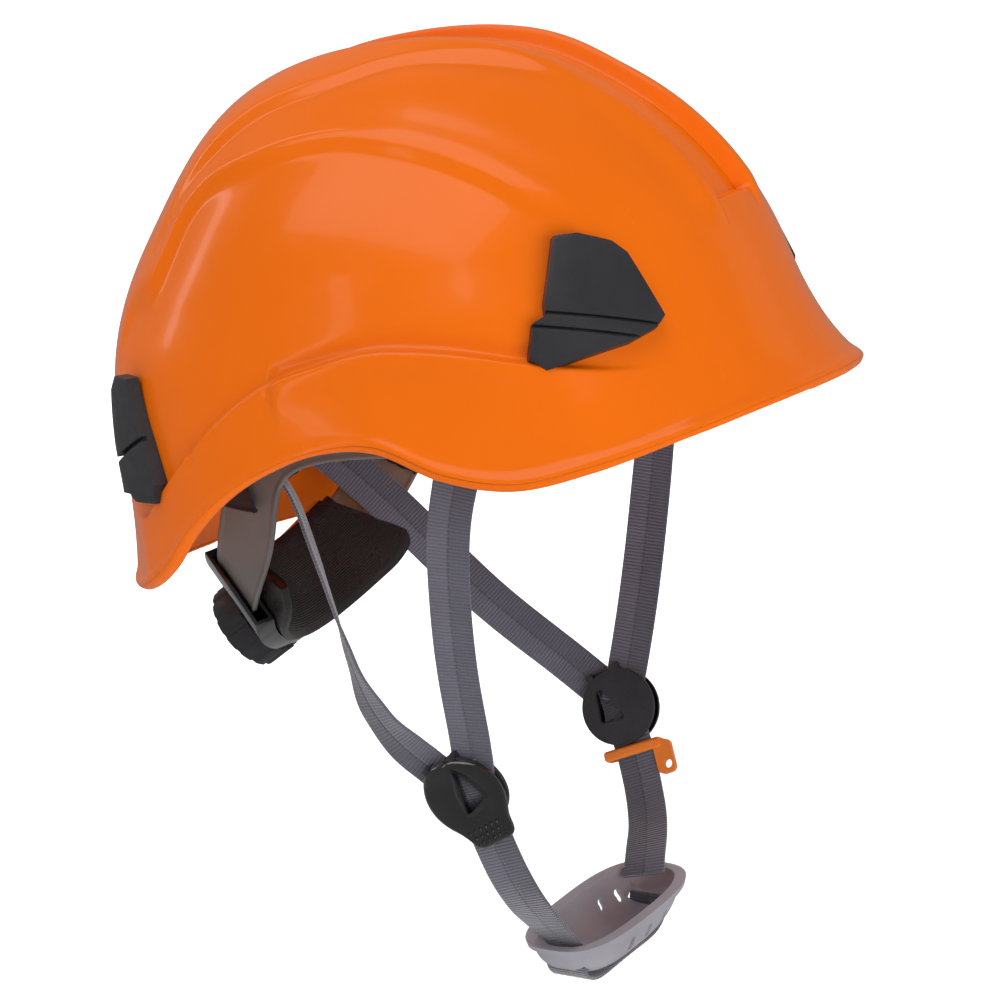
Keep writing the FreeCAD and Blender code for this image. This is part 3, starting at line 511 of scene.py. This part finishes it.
# ---------------------------------------------------------------- bands and straps follow their CAD pieces
RAY = 0.2                    # metres that a measuring ray may run
SQUARE = 0.96                # least cosine between a ray and the wall that it meets squarely
SLIMMEST = 2.2               # a flat piece is at least this many times as wide as it is thick
SWOLLEN = 1.6                # past this many times its first thickness, the ray has met something else
TIP = 0.38                   # share of the width at which the tilt is measured
MOST_STEPS = 900


def tree_of(mesh):
    corners = [v.co.copy() for v in mesh.vertices]
    return BVHTree.FromPolygons(corners, [tuple(p.vertices) for p in mesh.polygons])


def course(node, pace=0.001):
    """Middle line of a flat CAD piece, found from inside it.

    Gives its points, width directions, normals, width and thickness.
    """
    mesh = frame["nodes"][node].data
    tree = tree_of(mesh)

    def reach(point, way):
        hit = tree.ray_cast(point, way, RAY)
        return hit[3] if hit[0] is not None else None

    def squarely(point, way):
        """Distance to a wall that the ray meets squarely, as it does at a band's long edge."""
        hit = tree.ray_cast(point, way, RAY)
        return hit[3] if hit[0] is not None and abs(hit[1].dot(way)) > SQUARE else None

    best = None
    for face in sorted(mesh.polygons, key=lambda p: -p.area)[:60]:
        inward = -face.normal
        start = face.center + inward * 1e-5
        depth = reach(start, inward)
        if depth is None or (best is not None and depth > best[4] * 1.02):
            continue
        middle = start + inward * depth / 2
        for k in range(180):
            way = inward.orthogonal().normalized()
            way.rotate(Matrix.Rotation(math.pi * k / 180, 3, inward))
            ahead, back = squarely(middle, way), squarely(middle, -way)
            if not ahead or not back or ahead + back < SLIMMEST * depth:
                continue
            if best is None or depth < best[4] * 0.98 or ahead + back < best[0]:
                best = (ahead + back, middle + way * (ahead - back) / 2, way, inward, depth)
    width, middle, side, normal, thick = best

    def walk(sign):
        here, across, out = middle.copy(), side.copy(), normal.copy()
        wide = width
        way = across.cross(out).normalized() * sign
        found = []
        while len(found) < MOST_STEPS:
            ahead = reach(here, way)
            if ahead is None or ahead < pace * 1.05:
                if ahead:
                    found.append((here + way * ahead, across.copy(), out.copy()))
                return found
            there = here + way * pace
            up, down = reach(there, out), reach(there, -out)
            if up is None or down is None:
                return found
            if up + down < thick * SWOLLEN:
                there += out * (up - down) / 2
            tips = []
            for end in (-TIP, TIP):
                tip = there + across * (wide * end)
                up, down = reach(tip, out), reach(tip, -out)
                if up is not None and down is not None and up + down < thick * SWOLLEN:
                    tip = tip + out * (up - down) / 2
                tips.append(tip)
            across = (tips[1] - tips[0]).normalized()
            left, right = reach(there, across), reach(there, -across)
            if left and right and abs(left + right - wide) < 0.15 * wide:
                there += across * (left - right) / 2
                wide = wide * 0.7 + (left + right) * 0.3
            way = (way * 0.4 + (there - here).normalized() * 0.6).normalized()
            out = (out - way * out.dot(way) - across * out.dot(across)).normalized()
            across = (across - way * across.dot(way)).normalized()
            here = there
            found.append((here.copy(), across.copy(), out.copy()))
        return found

    line = walk(-1)[::-1] + [(middle, side, normal)] + walk(1)
    points = np.array([row[0] for row in line])
    sides = np.array([row[1] for row in line])
    normals = np.array([row[2] for row in line])
    return points, sides, normals, width, thick


def smoothed(values, rounds):
    values = values.copy()
    for _ in range(rounds):
        values[1:-1] = 0.25 * values[:-2] + 0.5 * values[1:-1] + 0.25 * values[2:]
    return values


def widths_along(node, line):
    """Real width at each point of a course, by rays to the piece's two edges."""
    points, sides, _, width, _ = line
    tree = tree_of(frame["nodes"][node].data)
    found = []
    for p, s in zip(points, sides):
        a, b = (tree.ray_cast(Vector(p), Vector(s) * k, 0.1) for k in (1, -1))
        found.append(a[3] + b[3] if a[0] is not None and b[0] is not None else width)
    found = np.clip(np.array(found), width * 0.8, width * 1.4)
    return smoothed(found, 20)


def strip_mesh(name, line, profile, widths=None, subdivide=3, face_out=None):
    """Closed band along a course.

    profile lists (share of half width, share of half thickness) round the section.
    """
    points, sides, normals, width, thick = line
    if face_out is not None and (normals * (points - np.array(face_out))).sum() < 0:
        normals, sides = -normals, -sides
    points, sides, normals = (smoothed(v, 6) for v in (points, sides, normals))
    run = np.concatenate([[0], np.cumsum(np.linalg.norm(np.diff(points, axis=0), axis=1))])
    at = np.linspace(0, run[-1], len(run) * subdivide)
    wide = np.full(len(run), width) if widths is None else widths
    wide = np.interp(at, run, wide)

    def sample(values):
        out = np.stack([np.interp(at, run, values[:, k]) for k in range(3)], 1)
        return smoothed(out, 6)

    points, sides, normals = sample(points), sample(sides), sample(normals)
    sides /= np.linalg.norm(sides, axis=1, keepdims=True)
    normals -= sides * (sides * normals).sum(1, keepdims=True)
    normals /= np.linalg.norm(normals, axis=1, keepdims=True)
    profile = np.array(profile)
    count, around = len(at), len(profile)
    rings = (points[:, None] + sides[:, None] * (profile[None, :, :1] * wide[:, None, None] / 2)
             + normals[:, None] * (profile[None, :, 1:] * thick / 2))
    verts = rings.reshape(-1, 3)
    faces, uv = [], []
    for i in range(count - 1):
        for k in range(around):
            n = (k + 1) % around
            faces.append((i * around + k, i * around + n, (i + 1) * around + n, (i + 1) * around + k))
            for row, col in ((i, k), (i, n), (i + 1, n), (i + 1, k)):
                uv.append((profile[col][0] * wide[row] / 2 / MM, at[row] / MM))
    for ring, order in ((0, range(around)), (count - 1, range(around - 1, -1, -1))):
        faces.append(tuple(ring * around + k for k in order))
        uv += [(profile[k][0] * width / 2 / MM, at[ring] / MM) for k in order]
    return mesh_object(name, verts, faces, uv=uv)


def webbing_profile(crease=0.0):
    """Flat section with round selvedges and a shallow groove down the middle."""
    def groove(u):
        return 0.35 * math.exp(-(u / 0.06) ** 2)

    top = [(u, 1.0 - groove(u) + crease * abs(u)) for u in np.linspace(-0.93, 0.93, 31)]
    under = [(u, -1.0 + groove(u) + crease * abs(u)) for u in np.linspace(0.93, -0.93, 31)]
    right = [(0.985, 0.6), (1.0, 0.0), (0.985, -0.6)]
    left = [(-u, -v) for u, v in right]
    return top + right + under + left


def band_profile():
    """Section of a moulded band with thicker, rounded edges."""
    top = [(u, 0.75 + 0.55 * step((abs(u) - 0.86) / 0.05)) for u in np.linspace(-0.96, 0.96, 41)]
    right = [(0.992, 0.8), (1.0, 0.0), (0.992, -0.8)]
    under = [(-u, -v) for u, v in top]
    left = [(-u, -v) for u, v in right]
    return top + right + under + left


def reaching(line, toward, by, shift):
    """The course with its end nearest to toward carried on straight by a length, stepped aside by shift."""
    points, sides, normals, width, thick = line
    if np.linalg.norm(points[0] - toward) > np.linalg.norm(points[-1] - toward):
        points, sides, normals = points[::-1], sides[::-1], normals[::-1]
    way = points[0] - points[12]
    way /= np.linalg.norm(way)
    out = normals[0] * np.sign(normals[0][0] * points[0][0])
    more = np.arange(by, 0, -MM)
    extra = points[0] + way * more[:, None] + out * (shift * np.minimum(more / (4 * MM), 1))[:, None]
    return (np.concatenate([extra, points]), np.concatenate([np.repeat(sides[:1], len(more), 0), sides]),
            np.concatenate([np.repeat(normals[:1], len(more), 0), normals]), width, thick)


STRAPS = [n for n in frame["nodes"] if SLOT_OF[n] == "webbing"]
# how far a strap's end carries on behind its buckle, and how far outward it shifts there
TUCKS = {"lower_strap": (0.016, 0.0022), "rear_strap": (0.005, 0.0)}
for node in STRAPS:
    line = course(node)
    for kind, (by, shift) in TUCKS.items():
        if node.startswith(kind):
            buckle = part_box(node.replace(kind, "buckle_cover"))
            line = reaching(line, np.array(sum(buckle, Vector()) / 2), by, shift)
    strap = strip_mesh(node + "_woven", line, webbing_profile(0.25 if "front" in node else 0.0),
                       face_out=(0, 0, 0))
    stand_for(strap, node)

for node in ("headband", "yoke_left", "yoke_right"):
    line = course(node)
    band = strip_mesh(node + "_moulded", line, band_profile(), widths=widths_along(node, line))
    stand_for(band, node)


# ---------------------------------------------------------------- domed covers of the two buckles
WINDOW = [(10.0, 6.7), (-3.5, -3.5), (5.8, -6.2)]    # (back, up) from the buckle's centre, in mm
WINDOW_GROW = 1.15
TAB_TURN = math.radians(33)
HINGE = 13.6                  # from the buckle's centre to the hinge line
HINGE_OUT = 3.4
HEEL = 15.7                   # the outline is cut straight behind the hinge, so that it clears the straps
COVER_RADIUS = {"left": 14.6, "right": 16.0}
TAB_REACH = 20.5
TAB_HALF_WIDTH = 9.8
TAB_POWER = 6                 # of the tab's rounded rectangle
JOIN_POWER = 9                # how sharply the tab joins the round cover
LUG_SWELL = 1.5               # the cover is this much higher over the hinge's lugs
DIMPLE_ROWS = 3
DIMPLE_START = 12.4
DIMPLE_ROW_PITCH = 2.5
DIMPLE_PITCH = 2.7
DIMPLE_RADIUS = 0.72
DIMPLE_DEPTH = 0.8
EDGE_HEIGHT = 3.2             # section rows above this rise over the lugs
FACE_HEIGHT = 4.4             # rows above this, past the window's lip, carry the dimples
LIP = 0.15
# (share of the way from window to edge, height) round the section, outside first and underside last
COVER_SECTION = ([(0.0, 2.6), (0.0, 4.3), (0.015, 5.2), (0.05, 5.75), (0.09, 5.7), (0.13, 5.2), (0.17, 4.95)]
                 + [(u, 4.95 + 0.35 * math.sin(math.pi * (u - 0.17) / 0.7))
                    for u in np.linspace(0.2, 0.86, 56)]
                 + [(0.9, 4.7), (0.94, 4.3), (0.975, 3.7), (0.995, 3.0), (1.0, 2.3), (0.99, 1.9), (0.97, 1.9)]
                 + [(u, 3.3) for u in np.linspace(0.92, 0.1, 12)])


def polygon_reach(corners, centre, turns):
    """Distance from centre to the sides of a convex polygon, for each direction."""
    reach = np.full(len(turns), np.inf)
    for a, b in zip(corners, corners[1:] + corners[:1]):
        ax, ay, dx, dy = a[0] - centre[0], a[1] - centre[1], b[0] - a[0], b[1] - a[1]
        across = np.cos(turns) * dy - np.sin(turns) * dx
        distance = (ax * dy - ay * dx) / np.where(np.abs(across) < 1e-9, 1e-9, across)
        reach = np.where((distance > 0) & (distance < reach), distance, reach)
    return reach


def smoothed_ring(values, rounds):
    for _ in range(rounds):
        values = 0.25 * np.roll(values, 1) + 0.5 * values + 0.25 * np.roll(values, -1)
    return values


def dimples(flat):
    """Depth of the grip tab's dimples at places given as (down the tab, across it)."""
    depth = np.zeros(len(flat))
    for row in range(DIMPLE_ROWS):
        count = 6 - row % 2
        for k in range(count):
            down = flat[:, 0] - DIMPLE_START - DIMPLE_ROW_PITCH * row
            over = flat[:, 1] - (k - (count - 1) / 2) * DIMPLE_PITCH
            depth += DIMPLE_DEPTH * np.exp(-(np.hypot(down, over) / DIMPLE_RADIUS) ** 4)
    return depth


def cover_edge(side, turns):
    """Reach of the cover's outline from the buckle's centre; turn 0 points down the grip tab."""
    down, over = np.cos(turns), np.abs(np.sin(turns))
    reach = np.minimum(COVER_RADIUS[side], np.where(down < 0, HEEL / np.maximum(-down, 0.01), np.inf))
    if side == "right":
        corner = np.abs(down / TAB_REACH) ** TAB_POWER + np.abs(over / TAB_HALF_WIDTH) ** TAB_POWER
        tab = np.minimum(corner ** (-1 / TAB_POWER), 30)
        joined = (reach ** JOIN_POWER + tab ** JOIN_POWER) ** (1 / JOIN_POWER)
        reach = np.where(down > 0, joined, reach)
    return reach


def domed_cover(side):
    joint = next(j for j in frame["record"]["behaviour"]["joints"] if j["name"] == "lever_" + side + "_open")
    axis = np.array(joint["axis"])
    sign = 1 if side == "left" else -1
    out = np.cross([0, 1, 0], axis)
    out *= sign * np.sign(out[0]) / np.linalg.norm(out)
    down = np.cross(out, axis)
    down *= -np.sign(down[2]) / np.linalg.norm(down)
    over = np.cross(down, out) * sign
    centre = np.array(joint["pos_m"]) + (down * HINGE - out * HINGE_OUT) * MM
    # window corners turned into (down the tab, across it)
    c, s = math.cos(TAB_TURN), math.sin(TAB_TURN)
    corners = [(-y * s - z * c, y * c - z * s) for y, z in WINDOW]
    middle = np.mean(corners, axis=0)
    corners = [tuple(middle + (np.array(k) - middle) * WINDOW_GROW) for k in corners]
    turns = np.linspace(0, 2 * math.pi, 480, endpoint=False)
    opening = smoothed_ring(polygon_reach(corners, middle, turns), 7)
    inner = middle + opening[:, None] * np.stack([np.cos(turns), np.sin(turns)], 1)
    edge = cover_edge(side, turns)
    outer = edge[:, None] * np.stack([np.cos(turns), np.sin(turns)], 1)
    rings = []
    for share, height in COVER_SECTION:
        flat = inner + (outer - inner) * share
        lift = np.full(len(turns), height)
        if height > EDGE_HEIGHT:
            lift += LUG_SWELL * bump((flat[:, 0] + HINGE) / 4.0) * bump(flat[:, 1] / 11.0)
        if side == "right" and height > FACE_HEIGHT and share > LIP:
            lift -= dimples(flat)
        rings.append(centre + (flat[:, :1] * down + flat[:, 1:] * over + lift[:, None] * out) * MM)
    verts = np.concatenate(rings)
    count, around = len(rings), len(turns)
    index = np.arange(count * around).reshape(count, around)
    ahead = np.roll(index, -1, axis=1)
    below, below_ahead = np.roll(index, -1, axis=0), np.roll(ahead, -1, axis=0)
    quads = np.stack([index, below, below_ahead, ahead], -1).reshape(-1, 4)
    cover = mesh_object("buckle_cover_" + side + "_domed", verts, quads)
    fix = cover.modifiers.new("weld", "WELD")
    fix.merge_threshold = 0.000001
    apply_modifiers(cover)
    return cover


for side in ("left", "right"):
    stand_for(domed_cover(side), "buckle_cover_" + side)


# ---------------------------------------------------------------- soft pads
def pad_profile(rounding=0.8):
    """Pillow section, as a superellipse."""
    turns = np.linspace(0, 2 * math.pi, 56, endpoint=False)
    return [(math.copysign(abs(math.cos(t)) ** 0.35, math.cos(t)),
             math.copysign(abs(math.sin(t)) ** 0.7, math.sin(t)) * rounding) for t in turns]


CLOTH_FRAMES = 20


def inflate(obj, pressure, cap):
    """Blows the pad up a little with cloth simulation, so that it puckers as stuffed cloth does."""
    remesh = obj.modifiers.new("remesh", "REMESH")
    remesh.mode = "VOXEL"
    remesh.voxel_size = 0.0022
    apply_modifiers(obj)
    rest = np.array([v.co for v in obj.data.vertices])
    cloth = obj.modifiers.new("cloth", "CLOTH")
    cloth.settings.quality = 5
    cloth.settings.mass = 0.15
    cloth.settings.tension_stiffness = 12
    cloth.settings.compression_stiffness = 12
    cloth.settings.bending_stiffness = 0.3
    cloth.settings.use_pressure = True
    cloth.settings.uniform_pressure_force = pressure
    cloth.settings.effector_weights.gravity = 0
    cloth.collision_settings.use_collision = False
    cloth.point_cache.frame_start = 1
    cloth.point_cache.frame_end = CLOTH_FRAMES
    scene = bpy.context.scene
    for number in range(1, CLOTH_FRAMES + 1):
        scene.frame_set(number)
    apply_modifiers(obj)
    scene.frame_set(1)
    moved = np.array([v.co for v in obj.data.vertices])
    shift = moved - rest
    size = np.linalg.norm(shift, axis=1, keepdims=True)
    shift *= np.minimum(1, cap / np.maximum(size, 1e-9))
    obj.data.vertices.foreach_set("co", (rest + shift).astype(np.float32).reshape(-1))
    smooth = obj.modifiers.new("smooth", "SUBSURF")
    smooth.levels = smooth.render_levels = 1
    apply_modifiers(obj)
    obj.data.polygons.foreach_set("use_smooth", [True] * len(obj.data.polygons))
    return obj


for node in ("sweatband", "arm_pad_left", "arm_pad_right"):
    line = course(node)
    pad = strip_mesh(node + "_foam", line, pad_profile(), subdivide=2)
    inflate(pad, 2.0, 0.0012)
    stand_for(pad, node)


NAPE_RIBS = 21


def nape_cushion():
    """Moulded pad with fine ribs that run along one face of it."""
    line = course("nape_pad")
    profile = []
    for u in np.linspace(-0.97, 0.97, 201):
        ribs = 0.06 * math.sin(u * 2 * math.pi * NAPE_RIBS) * step((0.86 - abs(u)) / 0.05)
        profile.append((u, (1 - abs(u) ** 6) * 0.86 + 0.1 + ribs))
    profile += [(1.0, 0.0)] + [(u, -0.9) for u in np.linspace(0.97, -0.97, 20)] + [(-1.0, 0.0)]
    return strip_mesh("nape_pad_ribbed", line, profile, subdivide=2)


pad = nape_cushion()
stand_for(pad, "nape_pad")

# ---------------------------------------------------------------- hard CAD pieces, with softened edges
EDGE = {"chin_cup": 0.0004, "knob": 0.0005, "nape_housing": 0.0006, "release_frame": 0.0003}
EDGE |= {"clip_" + place: 0.0009 for place in ("front_left", "front_right", "rear_left", "rear_right")}
for node, obj in frame["nodes"].items():
    if obj.hide_render:
        continue
    obj.data.materials.clear()
    obj.data.materials.append(MATERIALS[SLOT_OF[node]])
    weld = obj.modifiers.new("weld", "WELD")
    weld.merge_threshold = 0.000002
    bevel = obj.modifiers.new("bevel", "BEVEL")
    bevel.width = EDGE.get(node, 0.0002)
    bevel.segments = 3
    bevel.limit_method = "ANGLE"
    bevel.angle_limit = math.radians(32)
    bevel.harden_normals = True

# ---------------------------------------------------------------- stage, light, camera
low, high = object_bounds()


def backdrop():
    """Pale sweep: a level floor below the cup that curves up behind."""
    floor = low.z - 0.15
    back, bend, top = 2.8, 1.2, 5.0
    curve = [(back + bend * math.sin(t), floor + bend - bend * math.cos(t))
             for t in np.linspace(0, math.pi / 2, 16)]
    profile = [(-6.0, floor)] + curve + [(back + bend, top)]
    turn = Matrix.Rotation(math.radians(-66), 3, "Z")
    points = [turn @ Vector((x, d, z)) for d, z in profile for x in (-6.0, 6.0)]
    faces = [(2 * i, 2 * i + 1, 2 * i + 3, 2 * i + 2) for i in range(len(profile) - 1)]
    sweep = mesh_object("backdrop", points, faces)
    paper = Finish("paper", (0.93, 0.93, 0.93), 0.9)
    paper.mottle(3.0, 0.01)
    sweep.data.materials.append(paper.material)
    sweep.visible_glossy = False
    return sweep


backdrop()


def softbox(name, at, size, power, aim=(0, 0, 0), glossy=True):
    light = bpy.data.lights.new(name, "AREA")
    light.shape = "RECTANGLE"
    light.size, light.size_y = size
    light.energy = power
    lamp = bpy.data.objects.new(name, light)
    lamp.location = at
    lamp.rotation_mode = "QUATERNION"
    lamp.rotation_quaternion = (Vector(aim) - Vector(at)).to_track_quat("-Z", "Y")
    lamp.visible_glossy = glossy
    bpy.context.scene.collection.objects.link(lamp)


VIEW = Vector((-0.8901, -0.3963, 0.2250))          # towards the camera
RIGHT = Vector((0.4067, -0.9135, 0.0))
UP = Vector((0.2055, 0.0915, 0.9743))
softbox("key", VIEW * 0.7 + UP * 1.1 - RIGHT * 0.5, (1.3, 1.3), 11.5)
softbox("fill", VIEW * 1.3 + RIGHT * 0.85 - UP * 0.35, (1.2, 1.2), 17.0, glossy=False)
softbox("strip", VIEW * 1.0 - RIGHT * 1.3 - UP * 0.1, (0.14, 1.3), 1.3)
softbox("rim_left", -VIEW * 0.3 - RIGHT * 1.0 + UP * 0.8, (0.12, 1.2), 1.4)
softbox("rim_right", -VIEW * 0.4 + RIGHT * 1.2 + UP * 0.3, (0.5, 1.4), 0.5)
softbox("paper_light", UP * 1.7 - VIEW * 1.5, (2.5, 2.5), 75, aim=-VIEW * 2.6, glossy=False)

world = bpy.data.worlds.new("studio")
world.use_nodes = True
world.node_tree.nodes["Background"].inputs["Color"].default_value = (1.0, 1.0, 1.0, 1)
world.node_tree.nodes["Background"].inputs["Strength"].default_value = 0.24
bpy.context.scene.world = world
bpy.context.scene.view_settings.view_transform = "Standard"

AIM = Vector((0.00172, -0.01834, -0.02551))
DISTANCE = 1.8
LENS = 178.2
camera_data = bpy.data.cameras.new("camera")
camera_data.sensor_width = 36.0
camera_data.lens = LENS
camera_data.clip_start, camera_data.clip_end = 0.05, 30.0
camera = bpy.data.objects.new("camera", camera_data)
camera.location = AIM + VIEW * DISTANCE
camera.rotation_mode = "QUATERNION"
camera.rotation_quaternion = Matrix((RIGHT, UP, VIEW)).transposed().to_quaternion()
bpy.context.scene.collection.objects.link(camera)
bpy.context.scene.camera = camera
